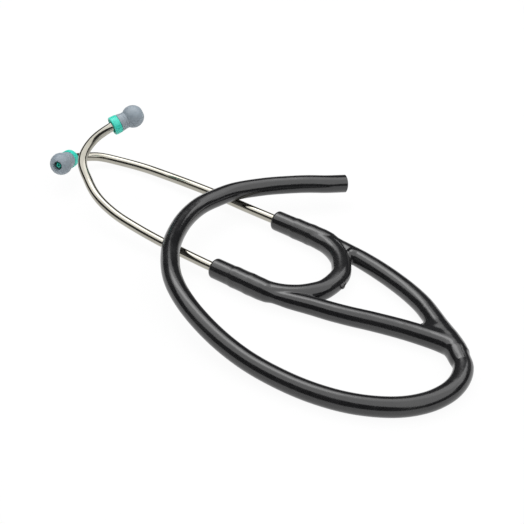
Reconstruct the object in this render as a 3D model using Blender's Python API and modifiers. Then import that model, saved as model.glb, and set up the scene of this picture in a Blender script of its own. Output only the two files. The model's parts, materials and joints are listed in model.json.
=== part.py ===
"""A stethoscope's headset and tube, lying at rest with its ear tubes crossed. Metres, +Z up.

The origin is on the surface that it lies on, under the middle of the headset. +Y runs from the
Y junction towards the ear tips, and +X to the side of the ear tube that passes underneath.
"""

import math

import bmesh
import bpy
from mathutils import Matrix, Vector
from mathutils.geometry import interpolate_bezier

MM = 0.001
CLEAR = 0.3 * MM  # the gap between pieces that touch
RUNNING = 0.05 * MM  # the radial clearance where one piece turns in another
OVERRUN = 2.0 * MM  # how far a cutter runs past what it cuts
LIMB_SPACING = 5.0 * MM  # between a smooth line's points, as also in the three values below
EAR_TUBE_SPACING = 6.0 * MM
MAIN_SPACING = 6.5 * MM
BRIDGE_SPACING = 4.0 * MM

# The sleeves, which lie flat and parallel and hold the ear tubes.
SLEEVE_RADIUS = 6.2 * MM
SLEEVE_LUMP = 0.4 * MM  # how far a sleeve swells over the barb in it
SLEEVE_SPACING = 60.0 * MM
SLEEVE_MOUTH_Y = 4.5 * MM
SLEEVE_FOOT_Y = -38.0 * MM
SLEEVE_HEIGHT = SLEEVE_RADIUS + SLEEVE_LUMP  # of its axis, over the surface
MOUTH_ROUND = 1.2 * MM
LUMEN_RADIUS = 2.4 * MM

# The ear tubes, the barbs on their lower ends and the threaded nipples on their upper ends.
EAR_TUBE_RADIUS = 2.85 * MM
EAR_TUBE_WALL = 0.7 * MM
EAR_TUBE_DEPTH = 24.5 * MM  # from the sleeve's mouth to the tube's lower end
BARB_HEIGHT = 1.1 * MM
BARB_LENGTH = 8.0 * MM
BARB_FROM_END = 2.0 * MM
BARB_RIDGES = 2
STRAIGHT_MOUTH = 6.5 * MM  # how far a tube runs straight on from its sleeve
NIPPLE_WALL = 0.7 * MM
NIPPLE_TURNS = 4
THREAD_PITCH = 1.3 * MM
THREAD_DEPTH = 0.3 * MM

# The ear tips, measured along their own axis from the collar's mouth.
COLLAR_RADIUS = 5.9 * MM
COLLAR_LENGTH = 4.8 * MM
COLLAR_WALL = 1.3 * MM
COLLAR_POCKET = 3.6 * MM
CORE_RADIUS = 4.5 * MM
CORE_LENGTH = 19.5 * MM
SOUND_BORE = 1.9 * MM
NIPPLE_START = 5.0 * MM
NECK_RADIUS = 5.3 * MM
BULB_RADIUS = 7.2 * MM
BULB_CENTRE = 14.6 * MM
LIP_WALL = 0.8 * MM
TIP_MOUTH_RADIUS = 2.7 * MM

# The moulded tubing.
ARM_RADIUS = 5.5 * MM
ARM_TOP_RADIUS = 5.2 * MM
MAIN_RADIUS = 5.5 * MM
SWELL_LENGTH = 25.0 * MM  # over which an arm widens from its sleeve
BRIDGE_RADIUS = 5.6 * MM
BRIDGE_END_RADIUS = 6.0 * MM  # where it runs into a sleeve
STRAIGHT_FOOT = 3.0 * MM  # how far a limb runs straight on from its sleeve
STRAIGHT_MIDDLE = 2.5 * MM  # on each side of the bridge's middle
JUNCTION_TOP_Y = -108.0 * MM
STEM_LENGTH = 3.4 * MM  # the straight stretch on each side of where the main tube starts
CROTCH_WEB = (6.0 * MM, 7.4 * MM, 5.0 * MM)  # half of its width, length and height
CROTCH_WEB_CENTRE = (-4.2 * MM, -127.6 * MM, 5.8 * MM)
LUMEN_SPREAD = 2.1 * MM  # from the main tube's axis to each of its two lumens
MAIN_LUMEN_RADIUS = 1.6 * MM

# The leaf spring.
LEAF_THICK = 0.9 * MM
LEAF_HEIGHT = 4.4 * MM

# Routes, in millimetres.
# An ear tube's points run on from its sleeve's mouth. Each is measured from the sleeve's axis
# towards the middle, from the mouth along Y, and up from the surface. The last one is the middle of
# the tip's bulb. The left tube passes over the right.
LEFT_EAR_ROUTE = (
    (-0.2, 22.0, 7.2),
    (-0.6, 39.3, 8.5),
    (-0.2, 58.5, 10.0),
    (0.6, 76.2, 12.4),
    (3.0, 91.6, 16.5),
    (8.4, 104.2, 21.2),
    (15.8, 115.2, 28.3),
    (26.5, 115.9, 36.3),
    (37.8, 109.3, 43.7),
    (50.7, 103.3, 47.0),
)
RIGHT_EAR_ROUTE = (
    (-0.1, 23.0, 6.5),
    (-0.4, 41.7, 6.6),
    (-0.1, 62.4, 6.4),
    (-0.1, 83.4, 5.4),
    (0.3, 103.7, 4.3),
    (3.5, 122.3, 4.1),
    (9.6, 135.0, 5.9),
    (18.6, 140.4, 8.3),
    (30.1, 140.6, 12.9),
    (43.1, 135.6, 17.3),
)
# The bridge's and the leaf's points are measured from the sleeve's axis at its foot: towards the
# middle, and along Y. Each starts at the middle, BRIDGE_DROP below the feet.
BRIDGE_DROP = 20.4 * MM
BRIDGE_ROUTE = (
    (21.0, -19.3),
    (15.0, -15.8),
    (9.6, -11.2),
    (4.8, -4.4),
    (1.8, 3.0),
)
LEAF_ROUTE = (
    (21.0, -19.3),
    (15.0, -15.8),
    (10.2, -10.6),
    (7.0, -3.8),
    (5.6, 0.4),
    (4.3, 6.0),
    (4.1, 13.0),
)
# The limbs run from the sleeves to the main tube. An arm's points are measured as the bridge's, and
# up from the surface. Those of a limb through the junction, and the main tube's, are where they lie.
LEFT_ARM_ROUTE = (
    (2.1, -11.1, 6.3),
    (5.1, -22.1, 6.1),
    (7.4, -33.1, 6.0),
    (10.2, -44.0, 5.9),
    (14.1, -56.9, 5.8),
)
RIGHT_ARM_ROUTE = (
    (1.1, -10.9, 6.3),
    (2.3, -20.9, 6.1),
    (4.2, -31.8, 6.0),
    (7.2, -44.5, 5.9),
    (11.5, -58.3, 5.8),
)
LEFT_LIMB_ROUTE = (
    (-12.2, -109.8, 5.8),
    (-9.8, -122.8, 5.8),
    (-8.5, -133.8, 5.8),
)
RIGHT_LIMB_ROUTE = (
    (12.8, -109.4, 5.8),
    (5.7, -120.6, 5.8),
    (-2.9, -133.2, 5.8),
)
MAIN_ROUTE = (
    (-11.5, -144.9, 5.7),
    (-19.4, -153.4, 5.7),
    (-30.2, -157.1, 5.7),
    (-42.2, -156.7, 5.7),
    (-55.1, -151.4, 5.7),
    (-66.8, -140.8, 5.7),
    (-76.8, -123.3, 5.7),
    (-82.5, -103.1, 5.8),
    (-84.8, -81.0, 6.4),
    (-84.4, -58.4, 7.9),
    (-80.7, -34.6, 11.0),
    (-72.8, -10.2, 14.8),
    (-61.2, 9.0, 16.8),
    (-44.4, 24.6, 17.2),
    (-30.8, 32.7, 17.1),
    (-13.7, 39.0, 17.0),
    (2.6, 41.1, 16.7),
    (16.5, 38.9, 16.3),
    (29.2, 34.8, 15.8),
    (44.3, 23.8, 15.6),
    (53.8, 14.4, 15.6),
    (62.2, 4.9, 15.6),
    (70.7, -4.7, 14.8),
    (80.0, -12.2, 13.3),
)

# Each finish is a name, a colour, a roughness and a metallic value.
BLACK_PVC = ("black_pvc", (0.012, 0.012, 0.014, 1.0), 0.28, 0.0)
NICKEL = ("nickel_plate", (0.72, 0.68, 0.60, 1.0), 0.16, 1.0)
SPRING_STEEL = ("spring_steel", (0.42, 0.43, 0.45, 1.0), 0.30, 1.0)
BRASS = ("brass", (0.70, 0.56, 0.30, 1.0), 0.30, 1.0)
TEAL = ("teal_plastic", (0.05, 0.55, 0.43, 1.0), 0.35, 0.0)
GREY = ("grey_soft_rubber", (0.27, 0.31, 0.35, 1.0), 0.55, 0.0)


def clear_scene():
    for old in list(bpy.data.objects):
        bpy.data.objects.remove(old, do_unlink=True)


def collection_named(name):
    found = bpy.data.collections.new(name)
    bpy.context.scene.collection.children.link(found)
    return found


clear_scene()
PARTS = collection_named("stethoscope")
CUTTERS = collection_named("cutters")


def material_of(spec):
    name, color, roughness, metallic = spec
    material = bpy.data.materials.get(name)
    if material is None:
        material = bpy.data.materials.new(name)
        material.use_nodes = True
        shader = material.node_tree.nodes["Principled BSDF"]
        shader.inputs["Base Color"].default_value = color
        shader.inputs["Roughness"].default_value = roughness
        shader.inputs["Metallic"].default_value = metallic
        material.diffuse_color = color
    return material


def painted(obj, spec):
    obj.data.materials.clear()
    obj.data.materials.append(material_of(spec))
    return obj


def side_name(side):
    """The side's name, from -1 for the left and 1 for the right."""
    return "left" if side < 0 else "right"


def scaled(route):
    return [Vector(point) * MM for point in route]


def for_side(points, side):
    """The left side's points as they are, or mirrored for the right."""
    return [Vector((point.x * -side, point.y, point.z)) for point in points]


def smooth_points(route, spacing):
    """Points about this far apart on a smooth curve through the route's own points."""
    line = []
    for index in range(len(route) - 1):
        start, end = route[index], route[index + 1]
        before = route[index - 1] if index else start * 2 - end
        after = route[index + 2] if index + 2 < len(route) else end * 2 - start
        reach = (end - start).length / 3
        leave = start + (end - before).normalized() * reach
        arrive = end - (after - start).normalized() * reach
        count = max(2, round((end - start).length / spacing) + 1)
        line += interpolate_bezier(start, leave, arrive, end, count)[:-1]
    return line + [route[-1]]


def length_of(points):
    return sum((end - start).length for start, end in zip(points, points[1:]))


def shortened(points, cut):
    """The line without this much of its start."""
    for index in range(len(points) - 1):
        step = (points[index + 1] - points[index]).length
        if step > cut:
            return [points[index].lerp(points[index + 1], cut / step)] + points[index + 1 :]
        cut -= step
    return points[-2:]


def trimmed(points, start, end):
    """The line with this much cut off at its start and at its end."""
    return shortened(shortened(points, start)[::-1], end)[::-1]


def lengthened(points, extra):
    """The line run on straight by this much past both ends."""
    first = points[0] + (points[0] - points[1]).normalized() * extra
    last = points[-1] + (points[-1] - points[-2]).normalized() * extra
    return [first] + points + [last]


def link_to(collection, obj):
    collection.objects.link(obj)
    if collection is CUTTERS:
        obj.hide_render = True
        obj.display_type = "WIRE"
    return obj


def curve_along(name, points, radii, roundness, caps):
    """A curve with a round section, whose radius may change from point to point."""
    curve = bpy.data.curves.new(name, "CURVE")
    curve.dimensions = "3D"
    curve.bevel_depth = max(radii)
    curve.bevel_resolution = roundness
    curve.use_fill_caps = caps
    spline = curve.splines.new("POLY")
    spline.points.add(len(points) - 1)
    for spot, point, radius in zip(spline.points, points, radii):
        spot.co = (*point, 1.0)
        spot.radius = radius / max(radii)
    return bpy.data.objects.new(name, curve)


def mesh_from(source, name, collection):
    """A mesh object of what the curve draws, with its caps welded, in place of the curve."""
    bpy.context.scene.collection.objects.link(source)
    graph = bpy.context.evaluated_depsgraph_get()
    mesh = bpy.data.meshes.new_from_object(source.evaluated_get(graph))
    work = bmesh.new()
    work.from_mesh(mesh)
    bmesh.ops.remove_doubles(work, verts=work.verts, dist=0.00001)
    work.to_mesh(mesh)
    work.free()
    mesh.shade_smooth()
    mesh.set_sharp_from_angle(angle=math.radians(40))
    made = bpy.data.objects.new(name, mesh)
    made.matrix_world = source.matrix_world.copy()
    bpy.data.objects.remove(source, do_unlink=True)
    return link_to(collection, made)


def rod(name, points, radii, collection, roundness=4):
    """A solid round bar along the points, with one radius or one for each point."""
    if not isinstance(radii, list):
        radii = [radii] * len(points)
    return mesh_from(curve_along(name + "_line", points, radii, roundness, True), name, collection)


def strip(name, points, thickness, height, collection):
    """A flat bar that stands on edge along the points."""
    section = bpy.data.curves.new(name + "_section", "CURVE")
    section.dimensions = "2D"
    outline = section.splines.new("POLY")
    outline.use_cyclic_u = True
    outline.points.add(3)
    corners = ((-1, -1), (-1, 1), (1, 1), (1, -1))
    for spot, (across, up) in zip(outline.points, corners):
        spot.co = (across * thickness / 2, up * height / 2, 0, 1)
    section_object = link_to(CUTTERS, bpy.data.objects.new(name + "_section", section))
    source = curve_along(name + "_line", points, [1.0] * len(points), 0, True)
    source.data.twist_mode = "Z_UP"
    source.data.bevel_mode = "OBJECT"
    source.data.bevel_object = section_object
    made = mesh_from(source, name, collection)
    bpy.data.objects.remove(section_object, do_unlink=True)
    return made


def turned(name, profile, start, axis, collection=PARTS, steps=24):
    """A solid turned about an axis.

    Its profile is pairs of a distance along the axis and a radius. They run down the outer side
    from the far end, and back up the bore.
    """
    mesh = bpy.data.meshes.new(name)
    corners = [(radius, 0, along) for along, radius in profile]
    mesh.from_pydata(corners, [(i, (i + 1) % len(corners)) for i in range(len(corners))], [])
    made = bpy.data.objects.new(name, mesh)
    made.matrix_world = Matrix.Translation(start) @ axis.to_track_quat("Z", "Y").to_matrix().to_4x4()
    turn = made.modifiers.new("turn", "SCREW")
    turn.steps = steps
    turn.render_steps = steps
    turn.use_merge_vertices = True
    turn.merge_threshold = 0.000001
    turn.use_smooth_shade = True
    return link_to(collection, made)


def boolean(target, other, operation):
    modifier = target.modifiers.new(operation.lower() + " " + other.name, "BOOLEAN")
    modifier.operation = operation
    modifier.solver = "EXACT"
    modifier.object = other
    return target


def arc(centre, radius, start, end, count):
    """Profile pairs on a stretch of a circle, by its angles in degrees from straight outwards."""
    angles = [math.radians(start + (end - start) * step / count) for step in range(count + 1)]
    return [(centre[0] + radius * math.sin(a), centre[1] + radius * math.cos(a)) for a in angles]


def sleeve_point(side, y):
    """The point on a sleeve's axis at this Y."""
    return Vector((side * SLEEVE_SPACING / 2, y, SLEEVE_HEIGHT))


def main_start():
    """Where the main tube starts, and a step the way it sets out, as long as the stem."""
    start, second = scaled(MAIN_ROUTE[:2])
    return start, (second - start).normalized() * STEM_LENGTH


def from_sleeve(side, y, route):
    """A route's points, measured from the sleeve's axis at this Y, and up from the surface."""
    start = Vector((side * SLEEVE_SPACING / 2, y, 0))
    return [start + Vector((inward * -side, along, up)) * MM for inward, along, up in route]


def limb_points(side):
    """The centre line from a sleeve's foot, down the arm and through the junction."""
    top = [sleeve_point(side, SLEEVE_FOOT_Y), sleeve_point(side, SLEEVE_FOOT_Y - STRAIGHT_FOOT)]
    arm = from_sleeve(side, SLEEVE_FOOT_Y, LEFT_ARM_ROUTE if side < 0 else RIGHT_ARM_ROUTE)
    lower = scaled(LEFT_LIMB_ROUTE if side < 0 else RIGHT_LIMB_ROUTE)
    start, step = main_start()
    return smooth_points(top + arm + lower + [start - step, start], LIMB_SPACING)


def limb_split(side):
    """The limb's line above the junction's top and its line below."""
    points = limb_points(side)
    index = next(i for i, point in enumerate(points) if point.y < JUNCTION_TOP_Y)
    above, below = points[index - 1], points[index]
    where = above.lerp(below, (above.y - JUNCTION_TOP_Y) / (above.y - below.y))
    return points[:index] + [where], [where] + points[index:]


def arm_radii(points, extra=0.0):
    """A radius for each point of an arm, which widens on its way down from the sleeve."""
    radii = []
    for index in range(len(points)):
        share = min(1.0, length_of(points[: index + 1]) / SWELL_LENGTH)
        radii.append(ARM_TOP_RADIUS + (ARM_RADIUS - ARM_TOP_RADIUS) * share + extra)
    return radii


def points_from_foot(route, half_gap):
    """The left half of a line that crosses between the sleeves, from the middle of the bridge."""
    foot = sleeve_point(-1, SLEEVE_FOOT_Y)
    middle = Vector((-half_gap, foot.y - BRIDGE_DROP, foot.z))
    line = [middle, middle - Vector((STRAIGHT_MIDDLE, 0, 0))]
    line += [foot + Vector((inward, along, 0)) * MM for inward, along in route]
    return smooth_points(line, BRIDGE_SPACING)


def leaf_points(side):
    return for_side(points_from_foot(LEAF_ROUTE, CLEAR), side)


def leaf_pocket(side):
    """The slot that the leaf lies in. It runs out past the leaf's end at the middle."""
    name = "leaf_pocket_" + side_name(side)
    if name in bpy.data.objects:
        return bpy.data.objects[name]
    points = leaf_points(side)
    middle = points[0] + (points[0] - points[1]).normalized() * OVERRUN
    blind = points[-1] + (points[-1] - points[-2]).normalized() * CLEAR
    line = [middle] + points[1:-1] + [blind]
    return strip(name, line, LEAF_THICK + 2 * CLEAR, LEAF_HEIGHT + 2 * CLEAR, CUTTERS)


def make_leaf(side):
    """One half of the U-shaped leaf spring, from the middle of the U to its end in the sleeve."""
    name = "spring_leaf_" + side_name(side)
    return painted(strip(name, leaf_points(side), LEAF_THICK, LEAF_HEIGHT, PARTS), SPRING_STEEL)


def make_sleeve(side):
    """The straight end of the tubing that grips an ear tube, with a socket for the barb."""
    start = sleeve_point(side, SLEEVE_FOOT_Y + CLEAR)
    length = SLEEVE_MOUTH_Y - start.y
    tube_end = length - EAR_TUBE_DEPTH
    barb_low = tube_end + BARB_FROM_END
    barb_high = barb_low + BARB_LENGTH
    grip = EAR_TUBE_RADIUS + RUNNING
    socket = EAR_TUBE_RADIUS + BARB_HEIGHT + RUNNING
    outside = arc((length - MOUTH_ROUND, SLEEVE_RADIUS - MOUTH_ROUND), MOUTH_ROUND, 90, 0, 4)
    outside += [
        (barb_high + BARB_LENGTH / 2, SLEEVE_RADIUS),
        (barb_high, SLEEVE_RADIUS + SLEEVE_LUMP),
        (barb_low, SLEEVE_RADIUS + SLEEVE_LUMP),
        (barb_low - BARB_LENGTH / 2, SLEEVE_RADIUS),
        (0, SLEEVE_RADIUS),
    ]
    bore = [
        (0, LUMEN_RADIUS),
        (tube_end - CLEAR, LUMEN_RADIUS),
        (tube_end - CLEAR, grip),
        (barb_low - CLEAR, grip),
        (barb_low - CLEAR, socket),
        (barb_high + CLEAR, socket),
        (barb_high + CLEAR, grip),
        (length, grip),
    ]
    made = turned("sleeve_" + side_name(side), outside + bore, start, Vector((0, 1, 0)))
    return painted(boolean(made, leaf_pocket(side), "DIFFERENCE"), BLACK_PVC)


def make_arm(side):
    """The soft tube from a sleeve down to the junction."""
    points = trimmed(limb_split(side)[0], 0, CLEAR / 2)
    name = "arm_tube_" + side_name(side)
    made = rod(name, points, arm_radii(points), PARTS)
    lumen = rod("arm_lumen_" + side_name(side), lengthened(points, OVERRUN), LUMEN_RADIUS, CUTTERS)
    boolean(made, lumen, "DIFFERENCE")
    painted(boolean(made, leaf_pocket(side), "DIFFERENCE"), BLACK_PVC)


def make_bridge_cover(side):
    """One half of the moulded bridge between the sleeves, which covers the leaf spring."""
    points = for_side(points_from_foot(BRIDGE_ROUTE, CLEAR / 2), side)
    steps = len(points) - 1
    flare = BRIDGE_END_RADIUS - BRIDGE_RADIUS
    radii = [BRIDGE_RADIUS + flare * (index / steps) ** 2 for index in range(steps + 1)]
    made = rod("bridge_cover_" + side_name(side), points, radii, PARTS)
    sleeve_line = [sleeve_point(side, SLEEVE_FOOT_Y - CLEAR), sleeve_point(side, SLEEVE_MOUTH_Y)]
    name = "around_sleeve_" + side_name(side)
    around_sleeve = rod(name, sleeve_line, SLEEVE_RADIUS + CLEAR, CUTTERS, roundness=10)
    name = "around_arm_" + side_name(side)
    arm_line = limb_split(side)[0]
    around_arm = rod(name, arm_line, arm_radii(arm_line, CLEAR), CUTTERS, roundness=6)
    for cutter in (leaf_pocket(side), around_sleeve, around_arm):
        boolean(made, cutter, "DIFFERENCE")
    return painted(made, BLACK_PVC)


def limb_lumen(side, points):
    """The bore through one limb of the junction, which moves over to its own half of the main tube."""
    line = []
    radii = []
    whole = length_of(points)
    for index, point in enumerate(points):
        share = length_of(points[: index + 1]) / whole
        near = points[max(index - 1, 0)]
        far = points[min(index + 1, len(points) - 1)]
        ahead = (far - near).normalized()
        sideways = Vector((ahead.y, -ahead.x, 0)) * -side
        line.append(point + sideways * LUMEN_SPREAD * share**2)
        radii.append(LUMEN_RADIUS + (MAIN_LUMEN_RADIUS - LUMEN_RADIUS) * share)
    radii = [radii[0]] + radii + [radii[-1]]
    return rod("limb_lumen_" + side_name(side), lengthened(line, OVERRUN), radii, CUTTERS)


def make_junction():
    """The Y moulding where the two arms run together into the main tube."""
    left, right = (trimmed(limb_split(side)[1], CLEAR / 2, 0) for side in (-1, 1))
    made = rod("y_junction", left, ARM_RADIUS, PARTS)
    boolean(made, rod("right_limb", right, ARM_RADIUS, CUTTERS), "UNION")
    web = bpy.data.meshes.new("crotch_web")
    work = bmesh.new()
    bmesh.ops.create_uvsphere(work, u_segments=20, v_segments=12, radius=1.0)
    bmesh.ops.scale(work, vec=CROTCH_WEB, verts=work.verts)
    work.to_mesh(web)
    work.free()
    web_object = link_to(CUTTERS, bpy.data.objects.new("crotch_web", web))
    web_object.location = CROTCH_WEB_CENTRE
    boolean(made, web_object, "UNION")
    for side, points in ((-1, left), (1, right)):
        boolean(made, limb_lumen(side, points), "DIFFERENCE")
    painted(made, BLACK_PVC)


def make_main_tube():
    """The free tube, from the junction round to its cut end."""
    start, step = main_start()
    route = [start, start + step] + scaled(MAIN_ROUTE[1:])
    points = trimmed(smooth_points(route, MAIN_SPACING), CLEAR, 0)
    painted(rod("main_tube", points, MAIN_RADIUS, PARTS, roundness=3), BLACK_PVC)


def ear_line(side):
    """The ear tube's centre line, from its lower end in the sleeve to the middle of the tip's bulb."""
    ends = (-EAR_TUBE_DEPTH, 0, STRAIGHT_MOUTH)
    straight = [sleeve_point(side, SLEEVE_MOUTH_Y + along) for along in ends]
    route = LEFT_EAR_ROUTE if side < 0 else RIGHT_EAR_ROUTE
    return smooth_points(straight + from_sleeve(side, SLEEVE_MOUTH_Y, route), EAR_TUBE_SPACING)


def tip_place(side):
    """The middle of the collar's mouth, and the direction out through the tip."""
    line = ear_line(side)
    mouth = trimmed(line, 0, BULB_CENTRE)[-1]
    return mouth, (line[-1] - mouth).normalized()


def make_ear_tube(side):
    """The bent metal tube, straight where it enters the sleeve and where the tip screws on."""
    mouth, ahead = tip_place(side)
    points = trimmed(ear_line(side), 0, BULB_CENTRE)
    points.append(mouth + ahead * (NIPPLE_START + NIPPLE_TURNS * THREAD_PITCH - CLEAR))
    name = "ear_tube_" + side_name(side)
    radii = [EAR_TUBE_RADIUS] * len(points)
    made = mesh_from(curve_along(name + "_line", points, radii, 4, False), name, PARTS)
    wall = made.modifiers.new("wall", "SOLIDIFY")
    wall.thickness = EAR_TUBE_WALL
    wall.offset = -1
    return painted(made, NICKEL)


def make_barb(side):
    """The ridged bush that is pressed on an ear tube's lower end and locks it in the sleeve."""
    low = SLEEVE_MOUTH_Y - EAR_TUBE_DEPTH + BARB_FROM_END
    ridge = BARB_LENGTH / BARB_RIDGES
    inner = EAR_TUBE_RADIUS + RUNNING
    outer = EAR_TUBE_RADIUS + BARB_HEIGHT
    outside = []
    for index in reversed(range(BARB_RIDGES)):
        outside += [((index + 1) * ridge, outer), (index * ridge, (inner + outer) / 2)]
    profile = outside + [(0, inner), (BARB_LENGTH, inner)]
    made = turned("ear_tube_barb_" + side_name(side), profile, sleeve_point(side, low), Vector((0, 1, 0)))
    return painted(made, BRASS)


def make_nipple(side):
    """The threaded bush on an ear tube's upper end, drawn with a ring for each turn of its thread."""
    mouth, ahead = tip_place(side)
    inner = EAR_TUBE_RADIUS + RUNNING
    outer = inner + NIPPLE_WALL
    outside = [(NIPPLE_TURNS * THREAD_PITCH, outer - THREAD_DEPTH)]
    for turn in reversed(range(NIPPLE_TURNS)):
        outside += [((turn + 0.5) * THREAD_PITCH, outer), (turn * THREAD_PITCH, outer - THREAD_DEPTH)]
    profile = outside + [(0, inner), (NIPPLE_TURNS * THREAD_PITCH, inner)]
    name = "ear_tube_nipple_" + side_name(side)
    return painted(turned(name, profile, mouth + ahead * NIPPLE_START, ahead), BRASS)


def make_core(side):
    """The hard insert that screws on the nipple, with the collar that shows below the soft tip."""
    mouth, ahead = tip_place(side)
    thread_bore = EAR_TUBE_RADIUS + NIPPLE_WALL + 2 * RUNNING + CLEAR
    thread_end = NIPPLE_START + NIPPLE_TURNS * THREAD_PITCH + CLEAR
    profile = [
        (CORE_LENGTH, CORE_RADIUS),
        (COLLAR_LENGTH, CORE_RADIUS),
        (COLLAR_LENGTH, COLLAR_RADIUS),
        (0, COLLAR_RADIUS),
        (0, COLLAR_RADIUS - COLLAR_WALL),
        (COLLAR_POCKET, COLLAR_RADIUS - COLLAR_WALL),
        (COLLAR_POCKET, thread_bore),
        (thread_end, thread_bore),
        (thread_end, SOUND_BORE),
        (CORE_LENGTH, SOUND_BORE),
    ]
    return painted(turned("ear_tip_core_" + side_name(side), profile, mouth, ahead), TEAL)


def make_tip(side):
    """The soft bulb that is moulded over the core and seals the ear."""
    mouth, ahead = tip_place(side)
    foot = COLLAR_LENGTH + CLEAR
    bore = CORE_RADIUS + CLEAR
    front = math.degrees(math.acos((TIP_MOUTH_RADIUS + LIP_WALL) / BULB_RADIUS))
    back = -math.degrees(math.acos(NECK_RADIUS / BULB_RADIUS))
    outside = arc((BULB_CENTRE, 0), BULB_RADIUS, front, back, 12)
    tip_end = outside[0][0]
    profile = outside + [
        (foot, NECK_RADIUS),
        (foot, bore),
        (CORE_LENGTH + CLEAR, bore),
        (CORE_LENGTH + CLEAR, TIP_MOUTH_RADIUS),
        (tip_end, TIP_MOUTH_RADIUS),
    ]
    return painted(turned("ear_tip_" + side_name(side), profile, mouth, ahead), GREY)


def pivot(name, place, parent=None):
    """An empty on a joint's axis, which carries the pieces that turn about it."""
    empty = link_to(PARTS, bpy.data.objects.new(name, None))
    empty.location = place
    hang([empty], parent)
    return empty


def hang(objects, parent):
    """Parents the objects and leaves them where they are."""
    for obj in objects:
        if parent:
            bpy.context.view_layer.update()
            obj.parent = parent
            obj.matrix_parent_inverse = parent.matrix_world.inverted()


make_junction()
make_main_tube()
for each_side in (-1, 1):
    make_arm(each_side)
    bridge_middle = Vector((0, SLEEVE_FOOT_Y - BRIDGE_DROP, SLEEVE_HEIGHT))
    side_pivot = pivot("side_pivot_" + side_name(each_side), bridge_middle)
    hang([make_leaf(each_side), make_sleeve(each_side), make_bridge_cover(each_side)], side_pivot)
    sleeve_mouth = sleeve_point(each_side, SLEEVE_MOUTH_Y)
    ear_pivot = pivot("ear_pivot_" + side_name(each_side), sleeve_mouth, side_pivot)
    hang([make_ear_tube(each_side), make_barb(each_side), make_nipple(each_side)], ear_pivot)
    tip_pivot = pivot("tip_pivot_" + side_name(each_side), tip_place(each_side)[0], ear_pivot)
    hang([make_core(each_side), make_tip(each_side)], tip_pivot)
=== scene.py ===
"""A stethoscope's looks, built round its fixed CAD frame. Metres, +Z up.

The yoke's tubing is drawn as one moulding and then cut where its bodies meet, into a junction,
two arms with their sleeves and two halves of the bridge.
"""

import json
import math

import bpy
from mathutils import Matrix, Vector
from mathutils.geometry import interpolate_bezier

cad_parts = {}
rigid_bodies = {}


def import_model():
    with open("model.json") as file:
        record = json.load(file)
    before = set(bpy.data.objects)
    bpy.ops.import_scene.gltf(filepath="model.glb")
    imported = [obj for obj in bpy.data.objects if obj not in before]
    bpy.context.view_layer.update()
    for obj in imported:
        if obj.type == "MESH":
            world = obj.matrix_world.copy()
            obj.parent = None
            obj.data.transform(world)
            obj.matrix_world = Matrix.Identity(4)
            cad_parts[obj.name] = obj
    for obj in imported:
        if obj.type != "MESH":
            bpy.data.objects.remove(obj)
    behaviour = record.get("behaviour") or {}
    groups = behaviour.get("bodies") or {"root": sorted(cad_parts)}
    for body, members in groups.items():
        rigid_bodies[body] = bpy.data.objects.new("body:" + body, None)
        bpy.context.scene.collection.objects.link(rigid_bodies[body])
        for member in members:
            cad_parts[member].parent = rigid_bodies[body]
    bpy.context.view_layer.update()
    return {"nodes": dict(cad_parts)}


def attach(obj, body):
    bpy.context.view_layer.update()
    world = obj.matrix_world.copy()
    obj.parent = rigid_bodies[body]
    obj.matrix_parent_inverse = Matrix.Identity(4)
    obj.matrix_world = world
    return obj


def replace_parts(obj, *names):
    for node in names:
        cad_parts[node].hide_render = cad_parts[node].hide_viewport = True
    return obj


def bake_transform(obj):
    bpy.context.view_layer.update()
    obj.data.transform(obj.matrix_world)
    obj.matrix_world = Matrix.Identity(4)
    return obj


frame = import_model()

MM = 0.001
bpy.ops.object.select_all(action="DESELECT")

# The camera looks down on the headset from beyond the junction, on the left.
CAMERA_PLACE = Vector((-497.45, -379.16, 457.61)) * MM
CAMERA_TARGET = Vector((-8.39, -13.83, 5.9)) * MM
CAMERA_LENS = 90.06
SENSOR_WIDTH = 36.0
CLIP_START = 0.01
CLIP_END = 20.0

CLEAR = 0.3 * MM
MAIN_SPACING = 6.5 * MM
LIMB_SPACING = 5.0 * MM
BRIDGE_SPACING = 4.0 * MM
EAR_TUBE_SPACING = 6.0 * MM
FINER = 3  # how many steps a drawn tube takes for each of its line's own
NO_CHANGE = 1e-6  # a turn or a resize smaller than this is left out

SLEEVE_SPACING = 60.0 * MM
SLEEVE_HEIGHT = 6.6 * MM
SLEEVE_MOUTH_Y = 4.5 * MM
SLEEVE_FOOT_Y = -38.0 * MM
JUNCTION_TOP_Y = -108.0 * MM
MAIN_RADIUS = 5.5 * MM
STEM_LENGTH = 3.4 * MM
STRAIGHT_FOOT = 3.0 * MM
STRAIGHT_MIDDLE = 2.5 * MM
BRIDGE_DROP = 20.4 * MM
BRIDGE_RADIUS = 5.75 * MM
BRIDGE_END_RADIUS = 6.0 * MM
EAR_TUBE_DEPTH = 24.5 * MM
STRAIGHT_MOUTH = 6.5 * MM
EAR_TUBE_RADIUS = 2.85 * MM
BULB_CENTRE = 14.6 * MM

# Routes, in millimetres, as the CAD frame has them.
LEFT_EAR_ROUTE = (
    (-0.2, 22.0, 7.2),
    (-0.6, 39.3, 8.5),
    (-0.2, 58.5, 10.0),
    (0.6, 76.2, 12.4),
    (3.0, 91.6, 16.5),
    (8.4, 104.2, 21.2),
    (15.8, 115.2, 28.3),
    (26.5, 115.9, 36.3),
    (37.8, 109.3, 43.7),
    (50.7, 103.3, 47.0),
)
RIGHT_EAR_ROUTE = (
    (-0.1, 23.0, 6.5),
    (-0.4, 41.7, 6.6),
    (-0.1, 62.4, 6.4),
    (-0.1, 83.4, 5.4),
    (0.3, 103.7, 4.3),
    (3.5, 122.3, 4.1),
    (9.6, 135.0, 5.9),
    (18.6, 140.4, 8.3),
    (30.1, 140.6, 12.9),
    (43.1, 135.6, 17.3),
)
BRIDGE_ROUTE = (
    (21.0, -19.3),
    (15.0, -15.8),
    (9.6, -11.2),
    (4.8, -4.4),
    (1.8, 3.0),
)
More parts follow.
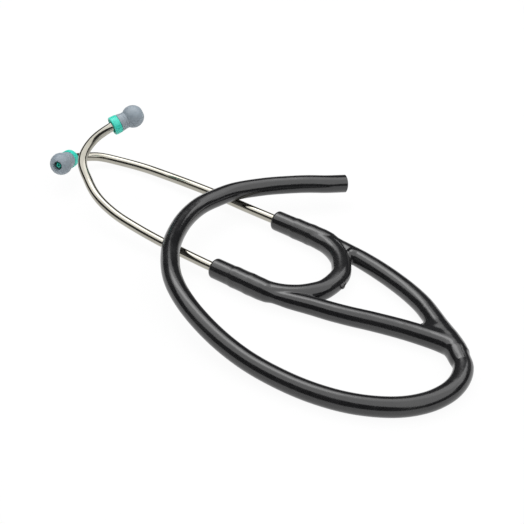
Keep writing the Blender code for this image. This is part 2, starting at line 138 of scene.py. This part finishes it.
BRIDGE_RUN_ON = ((0.9, 9.0), (0.4, 16.0))
LEFT_ARM_ROUTE = (
    (2.1, -11.1, 6.3),
    (5.1, -22.1, 6.1),
    (7.4, -33.1, 6.0),
    (10.2, -44.0, 5.9),
    (14.1, -56.9, 5.8),
)
RIGHT_ARM_ROUTE = (
    (1.1, -10.9, 6.3),
    (2.3, -20.9, 6.1),
    (4.2, -31.8, 6.0),
    (7.2, -44.5, 5.9),
    (11.5, -58.3, 5.8),
)
LEFT_LIMB_ROUTE = (
    (-12.2, -109.8, 5.8),
    (-9.8, -122.8, 5.8),
    (-8.5, -133.8, 5.8),
)
RIGHT_LIMB_ROUTE = (
    (12.8, -109.4, 5.8),
    (5.7, -120.6, 5.8),
    (-2.9, -133.2, 5.8),
)
MAIN_ROUTE = (
    (-11.5, -144.9, 5.7),
    (-19.4, -153.4, 5.7),
    (-30.2, -157.1, 5.7),
    (-42.2, -156.7, 5.7),
    (-55.1, -151.4, 5.7),
    (-66.8, -140.8, 5.7),
    (-76.8, -123.3, 5.7),
    (-82.5, -103.1, 5.8),
    (-84.8, -81.0, 6.4),
    (-84.4, -58.4, 7.9),
    (-80.7, -34.6, 11.0),
    (-72.8, -10.2, 14.8),
    (-61.2, 9.0, 16.8),
    (-44.4, 24.6, 17.2),
    (-30.8, 32.7, 17.1),
    (-13.7, 39.0, 17.0),
    (2.6, 41.1, 16.7),
    (16.5, 38.9, 16.3),
    (29.2, 34.8, 15.8),
    (44.3, 23.8, 15.6),
    (53.8, 14.4, 15.6),
    (62.2, 4.9, 15.6),
    (70.7, -4.7, 14.8),
    (80.0, -12.2, 13.3),
)


def side_name(side):
    """The side's name, from -1 for the left and 1 for the right."""
    return "left" if side < 0 else "right"


def scaled(route):
    return [Vector(point) * MM for point in route]


def for_side(points, side):
    """The left side's points as they are, or mirrored for the right."""
    return [Vector((point.x * -side, point.y, point.z)) for point in points]


def smooth_points(route, spacing):
    """Points about this far apart on a smooth curve through the route's own points."""
    line = []
    for index in range(len(route) - 1):
        start, end = route[index], route[index + 1]
        before = route[index - 1] if index else start * 2 - end
        after = route[index + 2] if index + 2 < len(route) else end * 2 - start
        reach = (end - start).length / 3
        leave = start + (end - before).normalized() * reach
        arrive = end - (after - start).normalized() * reach
        count = max(2, round((end - start).length / spacing) + 1)
        line += interpolate_bezier(start, leave, arrive, end, count)[:-1]
    return line + [route[-1]]


def length_of(points):
    return sum((end - start).length for start, end in zip(points, points[1:]))


def shortened(points, cut):
    """The line without this much of its start."""
    for index in range(len(points) - 1):
        step = (points[index + 1] - points[index]).length
        if step > cut:
            return [points[index].lerp(points[index + 1], cut / step)] + points[index + 1 :]
        cut -= step
    return points[-2:]


def trimmed(points, start, end):
    """The line with this much cut off at its start and at its end."""
    return shortened(shortened(points, start)[::-1], end)[::-1]


def sleeve_point(side, y):
    """The point on a sleeve's axis at this Y."""
    return Vector((side * SLEEVE_SPACING / 2, y, SLEEVE_HEIGHT))


def from_sleeve(side, y, route):
    """A route's points, measured from the sleeve's axis at this Y, and up from the surface."""
    start = Vector((side * SLEEVE_SPACING / 2, y, 0))
    return [start + Vector((inward * -side, along, up)) * MM for inward, along, up in route]


def main_start():
    """Where the main tube starts, and a step the way it sets out."""
    start, second = scaled(MAIN_ROUTE[:2])
    return start, (second - start).normalized() * STEM_LENGTH


def main_line():
    start, step = main_start()
    route = [start, start + step] + scaled(MAIN_ROUTE[1:])
    return trimmed(smooth_points(route, MAIN_SPACING / FINER), CLEAR, 0)


def limb_line(side):
    """The centre line from a sleeve's mouth, down the arm and through the junction."""
    top = [sleeve_point(side, SLEEVE_FOOT_Y), sleeve_point(side, SLEEVE_FOOT_Y - STRAIGHT_FOOT)]
    arm = from_sleeve(side, SLEEVE_FOOT_Y, LEFT_ARM_ROUTE if side < 0 else RIGHT_ARM_ROUTE)
    lower = scaled(LEFT_LIMB_ROUTE if side < 0 else RIGHT_LIMB_ROUTE)
    start, step = main_start()
    below = smooth_points(top + arm + lower + [start - step, start], LIMB_SPACING / FINER)
    return smooth_points([sleeve_point(side, SLEEVE_MOUTH_Y), top[0]], MM)[:-1] + below


def bridge_half_line(side):
    """The bridge's centre line, from its middle to where it has sunk into a sleeve."""
    foot = sleeve_point(-1, SLEEVE_FOOT_Y)
    middle = Vector((0, foot.y - BRIDGE_DROP, foot.z))
    line = [middle, middle - Vector((STRAIGHT_MIDDLE, 0, 0))]
    line += [foot + Vector((inward, along, 0)) * MM for inward, along in BRIDGE_ROUTE + BRIDGE_RUN_ON]
    return for_side(smooth_points(line, BRIDGE_SPACING / FINER), side)


def ear_line(side):
    """The ear tube's centre line, from its lower end in the sleeve to the middle of the tip's bulb."""
    ends = (-EAR_TUBE_DEPTH, 0, STRAIGHT_MOUTH)
    straight = [sleeve_point(side, SLEEVE_MOUTH_Y + along) for along in ends]
    route = from_sleeve(side, SLEEVE_MOUTH_Y, LEFT_EAR_ROUTE if side < 0 else RIGHT_EAR_ROUTE)
    return smooth_points(straight + route, EAR_TUBE_SPACING / FINER)


def tip_place(side):
    """The middle of the collar's mouth, and the direction out through the tip."""
    whole = ear_line(side)
    mouth = trimmed(whole, 0, BULB_CENTRE)[-1]
    return mouth, (whole[-1] - mouth).normalized()


# Modelling.
def heading(points, index):
    return (points[min(index + 1, len(points) - 1)] - points[max(index - 1, 0)]).normalized()


def turn_selected(turn, centre):
    """Turns what is selected about a point. With no window the operator turns the other way."""
    for axis, angle in zip("XYZ", turn.to_euler("XYZ")):
        if abs(angle) > NO_CHANGE:
            bpy.ops.transform.rotate(value=-angle, orient_axis=axis, center_override=centre)


def begin_edit():
    bpy.ops.object.mode_set(mode="EDIT")
    bpy.ops.mesh.select_mode(type="FACE")
    bpy.ops.mesh.select_all(action="SELECT")


def end_edit():
    bpy.ops.object.mode_set(mode="OBJECT")


def apply_place():
    bpy.ops.object.transform_apply(location=True, rotation=True, scale=True)


def choose(*objects):
    bpy.ops.object.select_all(action="DESELECT")
    for obj in objects:
        obj.select_set(True)
    bpy.context.view_layer.objects.active = objects[0]


def rounded(degrees=40):
    bpy.ops.object.shade_smooth_by_angle(angle=math.radians(degrees))


def start_ring(name, place, ahead, radius, sides):
    """A round face at its place, square to its direction, ready to be extruded."""
    bpy.ops.object.select_all(action="DESELECT")
    bpy.ops.mesh.primitive_circle_add(
        vertices=sides,
        radius=radius,
        fill_type="NGON",
        location=place,
        rotation=ahead.to_track_quat("Z", "Y").to_euler(),
    )
    bpy.context.object.name = name
    apply_place()
    begin_edit()
    return bpy.context.object


def drawn_along(name, points, radii, sides=32):
    """A solid round bar: a face that is extruded from point to point, turned and resized on the way."""
    if not isinstance(radii, list):
        radii = [radii] * len(points)
    ahead = heading(points, 0)
    made = start_ring(name, points[0], ahead, radii[0], sides)
    for index in range(1, len(points)):
        step = points[index] - points[index - 1]
        bpy.ops.mesh.extrude_region_move(TRANSFORM_OT_translate={"value": step})
        turn_selected(ahead.rotation_difference(heading(points, index)), points[index])
        ratio = radii[index] / radii[index - 1]
        if abs(ratio - 1) > NO_CHANGE:
            bpy.ops.transform.resize(value=(ratio,) * 3, center_override=points[index])
        ahead = heading(points, index)
    bpy.ops.mesh.select_all(action="SELECT")
    bpy.ops.mesh.normals_make_consistent(inside=False)
    end_edit()
    return made


def drawn_profile(name, place, ahead, profile, sides=48):
    """A turned piece: a face extruded and resized along one axis, by pairs of distance and radius."""
    made = start_ring(name, place + ahead * profile[0][0], ahead, profile[0][1], sides)
    for (before, width), (along, radius) in zip(profile, profile[1:]):
        step = ahead * (along - before)
        bpy.ops.mesh.extrude_region_move(TRANSFORM_OT_translate={"value": step})
        bpy.ops.transform.resize(value=(radius / width,) * 3, center_override=place + ahead * along)
    bpy.ops.mesh.select_all(action="SELECT")
    bpy.ops.mesh.normals_make_consistent(inside=False)
    end_edit()
    return made


def arc(centre, radius, start, end, count):
    """Profile pairs on a stretch of a circle, by its angles in degrees from straight outwards."""
    angles = [math.radians(start + (end - start) * step / count) for step in range(count + 1)]
    return [(centre[0] + radius * math.sin(a), centre[1] + radius * math.cos(a)) for a in angles]


def in_metres(profile):
    """Profile pairs given in millimetres, as the drawing functions take them."""
    return [(along * MM, radius * MM) for along, radius in profile]


def with_modifier(obj, name, kind, **settings):
    """Adds a modifier to the object, with its settings, and applies it."""
    choose(obj)
    modifier = obj.modifiers.new(name, kind)
    for key, value in settings.items():
        setattr(modifier, key, value)
    bpy.ops.object.modifier_apply(modifier=name)
    return obj


def select_faces(obj, wanted):
    """Selects, in edit mode, the faces whose middle passes the test."""
    bpy.ops.mesh.select_all(action="DESELECT")
    end_edit()
    for face in obj.data.polygons:
        face.select = wanted(face.center)
    bpy.ops.object.mode_set(mode="EDIT")


def split_off(obj, name, wanted):
    """Separates the faces that pass the test into a piece of their own."""
    before = set(bpy.data.objects)
    select_faces(obj, wanted)
    bpy.ops.mesh.separate(type="SELECTED")
    made = next(other for other in bpy.data.objects if other not in before)
    made.name = name
    return made


# Finishes.
class Number:
    """A shader's number, on which Python's signs add Math nodes."""

    def __init__(self, finish, socket):
        self.finish = finish
        self.socket = socket

    def maths(self, operation, first, second):
        made = self.finish.node("Math", {"operation": operation}, {0: first, 1: second})
        return Number(self.finish, made.outputs[0])

    def __add__(self, other):
        return self.maths("ADD", self, other)

    __radd__ = __add__

    def __mul__(self, other):
        return self.maths("MULTIPLY", self, other)

    __rmul__ = __mul__

    def above(self, low, high):
        """0 below low and 1 above high, with a ramp between them."""
        settings = {"clamp": True}
        sockets = {"Value": self, "From Min": low, "From Max": high}
        made = self.finish.node("MapRange", settings, sockets)
        return Number(self.finish, made.outputs[0])


class Finish:
    """A material and its nodes."""

    def __init__(self, name):
        self.material = bpy.data.materials.new(name)
        self.material.use_nodes = True
        self.tree = self.material.node_tree
        self.shader = self.tree.nodes["Principled BSDF"]
        self.place = self.node("TexCoord").outputs["Object"]

    def node(self, kind, settings=None, sockets=None):
        """A node with its settings made first, and then its sockets' values or links."""
        made = self.tree.nodes.new("ShaderNode" + kind)
        for key, value in (settings or {}).items():
            setattr(made, key, value)
        for key, value in (sockets or {}).items():
            self.feed(made.inputs[key], value)
        return made

    def feed(self, socket, value):
        if isinstance(value, Number):
            value = value.socket
        if isinstance(value, bpy.types.NodeSocket):
            self.tree.links.new(value, socket)
        else:
            socket.default_value = value

    def set(self, **values):
        for key, value in values.items():
            self.feed(self.shader.inputs[key.replace("_", " ")], value)
        return self

    def noise(self, scale, detail=3.0, roughness=0.5):
        sockets = {"Vector": self.place, "Scale": scale, "Detail": detail, "Roughness": roughness}
        return Number(self, self.node("TexNoise", None, sockets).outputs[0])

    def mixed(self, share, first, second):
        """The first colour where the share is 0, and the second where it is 1."""
        made = self.node("Mix", {"data_type": "RGBA"}, {"Factor": share, 6: first, 7: second})
        return made.outputs[2]

    def bumped(self, height, distance):
        sockets = {"Height": height, "Distance": distance, "Strength": 1.0}
        return self.node("Bump", None, sockets).outputs[0]

    def on(self, *objects):
        for obj in objects:
            obj.data.materials.clear()
            obj.data.materials.append(self.material)
        return objects[0]


def soft_black_tubing():
    finish = Finish("soft_black_tubing")
    handled = finish.noise(55.0, 4.0, 0.6).above(0.42, 0.72)
    uneven = finish.noise(140.0, 2.0)
    grain = finish.noise(2600.0, 2.0)
    finish.set(
        Base_Color=finish.mixed(handled, (0.0085, 0.0085, 0.0095, 1.0), (0.016, 0.016, 0.017, 1.0)),
        Roughness=0.16 + handled * 0.06,
        Normal=finish.bumped(uneven + grain * 0.02, 0.0001),
        IOR=1.65,
    )
    return finish


def polished_nickel():
    finish = Finish("polished_nickel")
    worn = finish.noise(90.0, 5.0, 0.6).above(0.45, 0.7)
    fine = finish.noise(1500.0, 3.0)
    finish.set(
        Base_Color=finish.mixed(worn, (0.41, 0.395, 0.345, 1.0), (0.36, 0.345, 0.295, 1.0)),
        Metallic=1.0,
        Roughness=0.09 + worn * 0.05,
        Normal=finish.bumped(fine, 0.00001),
    )
    return finish


def grey_silicone():
    finish = Finish("grey_silicone")
    cloudy = finish.noise(160.0, 4.0, 0.6).above(0.35, 0.7)
    grain = finish.noise(2200.0, 3.0)
    finish.set(
        Base_Color=finish.mixed(cloudy, (0.25, 0.30, 0.345, 1.0), (0.30, 0.345, 0.385, 1.0)),
        Roughness=0.42 + cloudy * 0.1,
        Normal=finish.bumped(grain, 0.00003),
    )
    return finish


def teal_plastic():
    finish = Finish("teal_plastic")
    cloudy = finish.noise(220.0, 3.0).above(0.35, 0.7)
    grain = finish.noise(1800.0, 2.0)
    finish.set(
        Base_Color=finish.mixed(cloudy, (0.03, 0.60, 0.46, 1.0), (0.045, 0.68, 0.54, 1.0)),
        Roughness=0.3 + cloudy * 0.08,
        Normal=finish.bumped(grain, 0.00002),
    )
    return finish


def turned_brass():
    finish = Finish("turned_brass")
    dull = finish.noise(400.0, 4.0).above(0.4, 0.7)
    finish.set(
        Base_Color=finish.mixed(dull, (0.72, 0.55, 0.28, 1.0), (0.55, 0.41, 0.2, 1.0)),
        Metallic=1.0,
        Roughness=0.22 + dull * 0.15,
    )
    return finish


def spring_steel():
    finish = Finish("spring_steel")
    dull = finish.noise(300.0, 4.0).above(0.4, 0.7)
    finish.set(
        Base_Color=finish.mixed(dull, (0.42, 0.43, 0.45, 1.0), (0.33, 0.34, 0.36, 1.0)),
        Metallic=1.0,
        Roughness=0.28 + dull * 0.12,
    )
    return finish


TUBING = soft_black_tubing()
NICKEL = polished_nickel()
SILICONE = grey_silicone()
TEAL = teal_plastic()
BRASS = turned_brass()
STEEL = spring_steel()


# Camera, light and floor.
BACK_TURN = -53.3  # which lays the back lamp across the camera's view
WORLD_SHADE = 0.05
FLOOR_SIZE = 40.0
FLOOR_DROP = 0.0001  # how far it lies below the headset
FLOOR_SHADE = 0.95
FLOOR_GLOW = 0.94


def make_camera():
    turn = (CAMERA_TARGET - CAMERA_PLACE).to_track_quat("-Z", "Y").to_euler()
    bpy.ops.object.camera_add(location=CAMERA_PLACE, rotation=turn)
    camera = bpy.context.object
    camera.data.lens = CAMERA_LENS
    camera.data.sensor_width = SENSOR_WIDTH
    camera.data.clip_start = CLIP_START
    camera.data.clip_end = CLIP_END
    bpy.context.scene.camera = camera


def make_lamp(name, place, turn, width, length, radiance):
    """A soft lamp that faces straight down."""
    bpy.ops.object.light_add(type="AREA", location=place, rotation=(0, 0, math.radians(turn)))
    lamp = bpy.context.object
    lamp.name = name
    lamp.data.shape = "RECTANGLE"
    lamp.data.size = width
    lamp.data.size_y = length
    lamp.data.energy = radiance * math.pi * width * length


def make_world(shade):
    world = bpy.data.worlds.new("studio")
    world.use_nodes = True
    background = world.node_tree.nodes["Background"]
    background.inputs["Color"].default_value = (shade, shade, shade, 1.0)
    bpy.context.scene.world = world


def make_floor():
    """A white floor, which the camera and the glossy and clear surfaces see as bright."""
    bpy.ops.mesh.primitive_plane_add(size=FLOOR_SIZE, location=(0, 0, -FLOOR_DROP))
    floor = bpy.context.object
    floor.name = "floor"
    finish = Finish("white_floor")
    finish.set(Base_Color=(FLOOR_SHADE, FLOOR_SHADE, FLOOR_SHADE, 1.0), Roughness=0.8)
    ray = finish.node("LightPath")
    seen = Number(finish, ray.outputs["Is Camera Ray"])
    seen = seen + Number(finish, ray.outputs["Is Glossy Ray"])
    seen = seen + Number(finish, ray.outputs["Is Transmission Ray"])
    glow = finish.node("Emission", None, {"Color": (1, 1, 1, 1), "Strength": 1.0})
    share = seen.above(0, 1) * FLOOR_GLOW
    both = finish.node("MixShader", None, {0: share, 1: finish.shader.outputs[0], 2: glow.outputs[0]})
    output = finish.tree.nodes["Material Output"]
    finish.feed(output.inputs["Surface"], both.outputs[0])
    finish.on(floor)


bpy.context.scene.view_settings.view_transform = "Standard"
make_camera()
make_lamp("softbox", place=(0.05, -0.5, 1.0), turn=0.0, width=1.8, length=3.3, radiance=1.5)
make_lamp("side_softbox", place=(1.25, -0.72, 1.0), turn=0.0, width=0.75, length=1.3, radiance=1.9)
make_lamp("back_softbox", place=(0.36, 0.3, 0.99), turn=BACK_TURN, width=1.9, length=0.75, radiance=0.45)
make_lamp("back_glow", place=(0.27, 0.58, 0.98), turn=0.0, width=0.42, length=0.75, radiance=2.2)
make_world(WORLD_SHADE)
make_floor()


# The main tube.
CUT_RIM = 0.3 * MM
LUMEN = 1.6 * MM  # radius
LUMEN_SPREAD = 2.1 * MM  # from the tube's axis to each of its two lumens
LUMEN_CUTTER = 15.0 * MM  # its length, of which the overrun lies outside the cut end
LUMEN_OVERRUN = 1.0 * MM
BAR_SIDES = 40
LUMEN_SIDES = 24


def make_main_tube():
    """The main tube, with a rounded rim and two lumens at its cut end."""
    points = main_line()
    back = points[-2] - points[-1]
    into = back.normalized()
    line = points[:-1] + [points[-1] + into * CUT_RIM, points[-1]]
    radii = [MAIN_RADIUS] * len(points) + [MAIN_RADIUS - CUT_RIM]
    made = drawn_along("main_tubing", line, radii, BAR_SIDES)
    across = Vector((back.y, -back.x, 0)).normalized()
    for side in (-1, 1):
        mouth = points[-1] - into * LUMEN_OVERRUN + across * LUMEN_SPREAD * side
        cutter = drawn_profile("lumen", mouth, into, [(0, LUMEN), (LUMEN_CUTTER, LUMEN)], LUMEN_SIDES)
        with_modifier(made, "lumen", "BOOLEAN", operation="DIFFERENCE", solver="EXACT", object=cutter)
        choose(cutter)
        bpy.ops.object.delete()
    choose(made)
    rounded()
    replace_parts(TUBING.on(made), "main_tube")
    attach(made, "yoke")
    length_of(points)


make_main_tube()


# The yoke.
# How far down a limb from the sleeve's mouth, and the radius there, in millimetres.
LIMB_STATIONS = (
    (0.0, 5.4),
    (0.35, 5.95),
    (1.0, 6.1),
    (9.0, 6.1),
    (13.0, 6.15),
    (15.5, 6.5),
    (18.5, 6.35),
    (23.0, 6.38),
    (26.0, 6.62),
    (29.0, 6.45),
    (34.0, 6.45),
    (39.0, 6.05),
    (42.0, 5.2),
    (44.5, 4.6),
    (47.0, 4.6),
    (51.0, 4.95),
    (56.0, 5.15),
    (64.0, 5.35),
    (75.0, 5.45),
    (115.0, 5.55),
    (135.0, 5.75),
    (148.0, 6.2),
)


def limb_radii(points):
    """The radius at each point from a sleeve's mouth down: the sleeve, its lumps, and the arm."""
    radii = []
    for index in range(len(points)):
        along = length_of(points[: index + 1]) / MM
        radius = LIMB_STATIONS[-1][1]
        for (start, low), (end, high) in zip(LIMB_STATIONS, LIMB_STATIONS[1:]):
            if start <= along < end:
                radius = low + (high - low) * (along - start) / (end - start)
        radii.append(radius * MM)
    return radii


def make_ball(name, place, size):
    """A ball that fills out the moulding, by its place and half its size in millimetres."""
    bpy.ops.mesh.primitive_uv_sphere_add(
        segments=32, ring_count=16, radius=MM, location=Vector(place) * MM, scale=size
    )
    bpy.context.object.name = name
    apply_place()
    return bpy.context.object


RUN_ON_STEPS = 12  # how far the moulding's skin runs on over the main tube, by the tube's own steps
RUN_ON_SLOPE = 0.15 * MM  # the most that its radius drops from one step to the next
BRIDGE_LEAN = Vector((-1.0, -0.35, 0)) * MM  # how far the bridge's middle lies off its line
CROTCH_TOP_Y = -113.0 * MM
WEB_RADIUS = 5.5 * MM
WEB_FILL = 3.5 * MM
WEB_VOXEL = 0.6 * MM
WEB_ROUTE = ((-2.9, -127.0, 5.8), (-4.9, -133.0, 5.9), (-8.2, -139.6, 6.0), (-12.0, -144.0, 6.1))
SKIN_VOXEL = 0.45 * MM
SKIN_SMOOTHING = 6
CROTCH_SMOOTHING = 25
# Balls that fill out the moulding: place and half size, in millimetres.
BALLS = (
    ("bend", (-11.9, -146.5, 6.1), (5.8, 5.8, 5.8)),
    ("shoulder", (26.9, -53.4, 6.7), (5.2, 5.2, 5.2)),
    ("gate", (-0.6, -64.9, 6.6), (1.9, 1.2, 1.6)),
    ("gate_edge", (1.5, -64.6, 7.4), (1.1, 1.3, 0.9)),
)


def moulding_bar(side):
    """A limb's points and radii, from the sleeve's mouth to a little way down the main tube."""
    points = limb_line(side)
    radii = limb_radii(points)
    for step in range(1, RUN_ON_STEPS + 1):
        radii.append(radii[-1] - RUN_ON_SLOPE * math.sin(math.pi * step / RUN_ON_STEPS))
    points += main_line()[:RUN_ON_STEPS]
    lifted = [Vector((at.x, at.y, max(at.z, radius))) for at, radius in zip(points, radii)]
    return lifted, radii


def joined(name, parts):
    choose(*parts)
    bpy.ops.object.join()
    bpy.context.object.name = name
    return bpy.context.object


def make_web():
    """The limbs where they run together, swollen and shrunk again so that the valleys fill up."""
    parts = [drawn_along("web", scaled(WEB_ROUTE), WEB_RADIUS, BAR_SIDES)]
    parts.append(make_ball("web_end", WEB_ROUTE[0], (WEB_RADIUS / MM,) * 3))
    for side in (-1, 1):
        points, radii = moulding_bar(side)
        count = len([point for point in points if point.y > CROTCH_TOP_Y])
        parts.append(drawn_along("low_limb", points[count:], radii[count:], BAR_SIDES))
    web = joined("filled_web", parts)
    for name, swell in (("swollen", WEB_FILL), ("shrunk", -WEB_FILL)):
        with_modifier(web, "one skin", "REMESH", mode="VOXEL", voxel_size=WEB_VOXEL)
        with_modifier(web, name, "DISPLACE", strength=swell, mid_level=0.0)
    return web


def make_yoke():
    """The whole moulding as one skin, softened all over and more so in the crotch."""
    parts = [make_web()]
    for side in (-1, 1):
        points, radii = moulding_bar(side)
        parts.append(drawn_along("limb_" + side_name(side), points, radii, BAR_SIDES))
    halves = [bridge_half_line(side) for side in (-1, 1)]
    points = halves[0][::-1] + halves[1][1:]
    steps = len(halves[0]) - 1
    shares = [abs(index - steps) / steps for index in range(len(points))]
    flare = BRIDGE_END_RADIUS - BRIDGE_RADIUS
    radii = [BRIDGE_RADIUS + flare * share**2 for share in shares]
    points = [point + BRIDGE_LEAN * (1 - share**3) for point, share in zip(points, shares)]
    parts.append(drawn_along("bridge_bar", points, radii, BAR_SIDES))
    parts += [make_ball(name, place, size) for name, place, size in BALLS]
    whole = joined("yoke_moulding", parts)
    with_modifier(whole, "one skin", "REMESH", mode="VOXEL", voxel_size=SKIN_VOXEL)
    with_modifier(whole, "soft", "SMOOTH", factor=0.5, iterations=SKIN_SMOOTHING)
    bpy.ops.object.vertex_group_add()
    begin_edit()
    select_faces(whole, lambda middle: middle.y < CROTCH_TOP_Y)
    bpy.ops.object.vertex_group_assign()
    end_edit()
    group = whole.vertex_groups[0].name
    settings = {"factor": 0.5, "iterations": CROTCH_SMOOTHING, "vertex_group": group}
    with_modifier(whole, "crotch", "SMOOTH", **settings)
    return whole


BRIDGE_CUT = 16.5 * MM  # from the middle to where each half of the bridge ends
BRIDGE_LOW_Y = -68.0 * MM


def cut_yoke(whole):
    """Cuts the moulding into a junction, two arms with their sleeves, and two halves of the bridge."""
    choose(whole)
    begin_edit()
    for x in (-BRIDGE_CUT, 0.0, BRIDGE_CUT):
        select_faces(whole, lambda middle: middle.y > BRIDGE_LOW_Y)
        bpy.ops.mesh.bisect(plane_co=(x, 0, 0), plane_no=(1, 0, 0))
    bpy.ops.mesh.select_all(action="SELECT")
    bpy.ops.mesh.bisect(plane_co=(0, JUNCTION_TOP_Y, 0), plane_no=(0, 1, 0))
    bridges = {}
    for side in (-1, 1):
        bridges[side] = split_off(
            whole,
            "bridge_skin_" + side_name(side),
            lambda middle: middle.y > BRIDGE_LOW_Y and 0 < middle.x * side < BRIDGE_CUT,
        )
    junction = split_off(whole, "junction_skin", lambda middle: middle.y < JUNCTION_TOP_Y)
    left = split_off(whole, "arm_skin_left", lambda middle: middle.x < 0)
    end_edit()
    whole.name = "arm_skin_right"
    return junction, {-1: left, 1: whole}, bridges


junction_skin, arm_skins, bridge_skins = cut_yoke(make_yoke())
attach(TUBING.on(junction_skin), "yoke")
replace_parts(junction_skin, "y_junction")
for each_side in (-1, 1):
    name = side_name(each_side)
    arm, bridge = arm_skins[each_side], bridge_skins[each_side]
    for skin in (arm, bridge):
        TUBING.on(skin)
    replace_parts(arm, "arm_tube_" + name, "sleeve_" + name)
    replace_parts(bridge, "bridge_cover_" + name)
    name + "_side"
    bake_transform(arm)
    name + "_side"
    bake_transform(bridge)
for skin in (junction_skin, *arm_skins.values(), *bridge_skins.values()):
    choose(skin)
    rounded(degrees=60)


# Ear tubes and tips.
EAR_TUBE_REACH = 6.0 * MM  # how far the metal runs on inside the collar
BULB_RADIUS = 7.0
BULB_MOUTH_RADIUS = 3.3
BULB_BACK_ANGLE = -42  # where the bulb runs out into the neck, in degrees
BULB_STEPS = 22
# Along the tip's axis from the collar's mouth, and radius, in millimetres.
COLLAR_PROFILE = (
    (3.6, 3.1),
    (0.9, 4.2),
    (0.25, 4.6),
    (0.0, 5.0),
    (0.1, 5.5),
    (0.5, 5.8),
    (4.3, 5.8),
    (4.75, 5.6),
    (4.85, 4.6),
)
POST_PROFILE = (
    (19.3, 4.4),
    (19.4, 3.0),
    (16.0, 2.9),
    (15.9, 1.5),
    (18.6, 1.45),
    (18.9, 1.2),
    (18.95, 0.7),
    (17.0, 0.6),
)
MOUTH_PROFILE = ((13.5, 2.9), (19.9, 2.7), (20.5, 2.8), (20.8, 3.1))
NECK_PROFILE = (
    (9.6, 5.1),
    (9.3, 5.2),
    (8.9, 5.2),
    (8.6, 5.05),
    (7.4, 5.2),
    (5.6, 5.5),
    (5.05, 5.4),
    (4.95, 4.7),
)


def make_ear_tube(side):
    name = side_name(side)
    mouth, ahead = tip_place(side)
    points = trimmed(ear_line(side), 0, BULB_CENTRE)
    points.append(mouth + ahead * EAR_TUBE_REACH)
    made = drawn_along("bent_tube_" + name, points, EAR_TUBE_RADIUS, 32)
    rounded()
    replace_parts(NICKEL.on(made), "ear_tube_" + name)
    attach(made, name + "_ear_tube")


def make_insert(side):
    """The hard core: its collar, and the post that shows in the bulb's mouth."""
    name = side_name(side)
    mouth, ahead = tip_place(side)
    profile = in_metres(COLLAR_PROFILE + POST_PROFILE)
    made = drawn_profile("tip_insert_" + name, mouth, ahead, profile)
    rounded(degrees=35)
    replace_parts(TEAL.on(made), "ear_tip_core_" + name)
    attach(made, name + "_tip")


def make_soft_tip(side):
    """The soft tip, from inside its open mouth, over the bulb and down the neck."""
    name = side_name(side)
    mouth, ahead = tip_place(side)
    front = math.degrees(math.acos(BULB_MOUTH_RADIUS / BULB_RADIUS))
    bulb = arc((BULB_CENTRE / MM, 0.0), BULB_RADIUS, front, BULB_BACK_ANGLE, BULB_STEPS)
    profile = in_metres([*MOUTH_PROFILE, *bulb, *NECK_PROFILE])
    made = drawn_profile("soft_tip_" + name, mouth, ahead, profile)
    rounded(degrees=50)
    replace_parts(SILICONE.on(made), "ear_tip_" + name)
    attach(made, name + "_tip")


for each_side in (-1, 1):
    make_ear_tube(each_side)
    make_insert(each_side)
    make_soft_tip(each_side)
    name = side_name(each_side)
    BRASS.on(frame["nodes"]["ear_tube_barb_" + name], frame["nodes"]["ear_tube_nipple_" + name])
    STEEL.on(frame["nodes"]["spring_leaf_" + name])
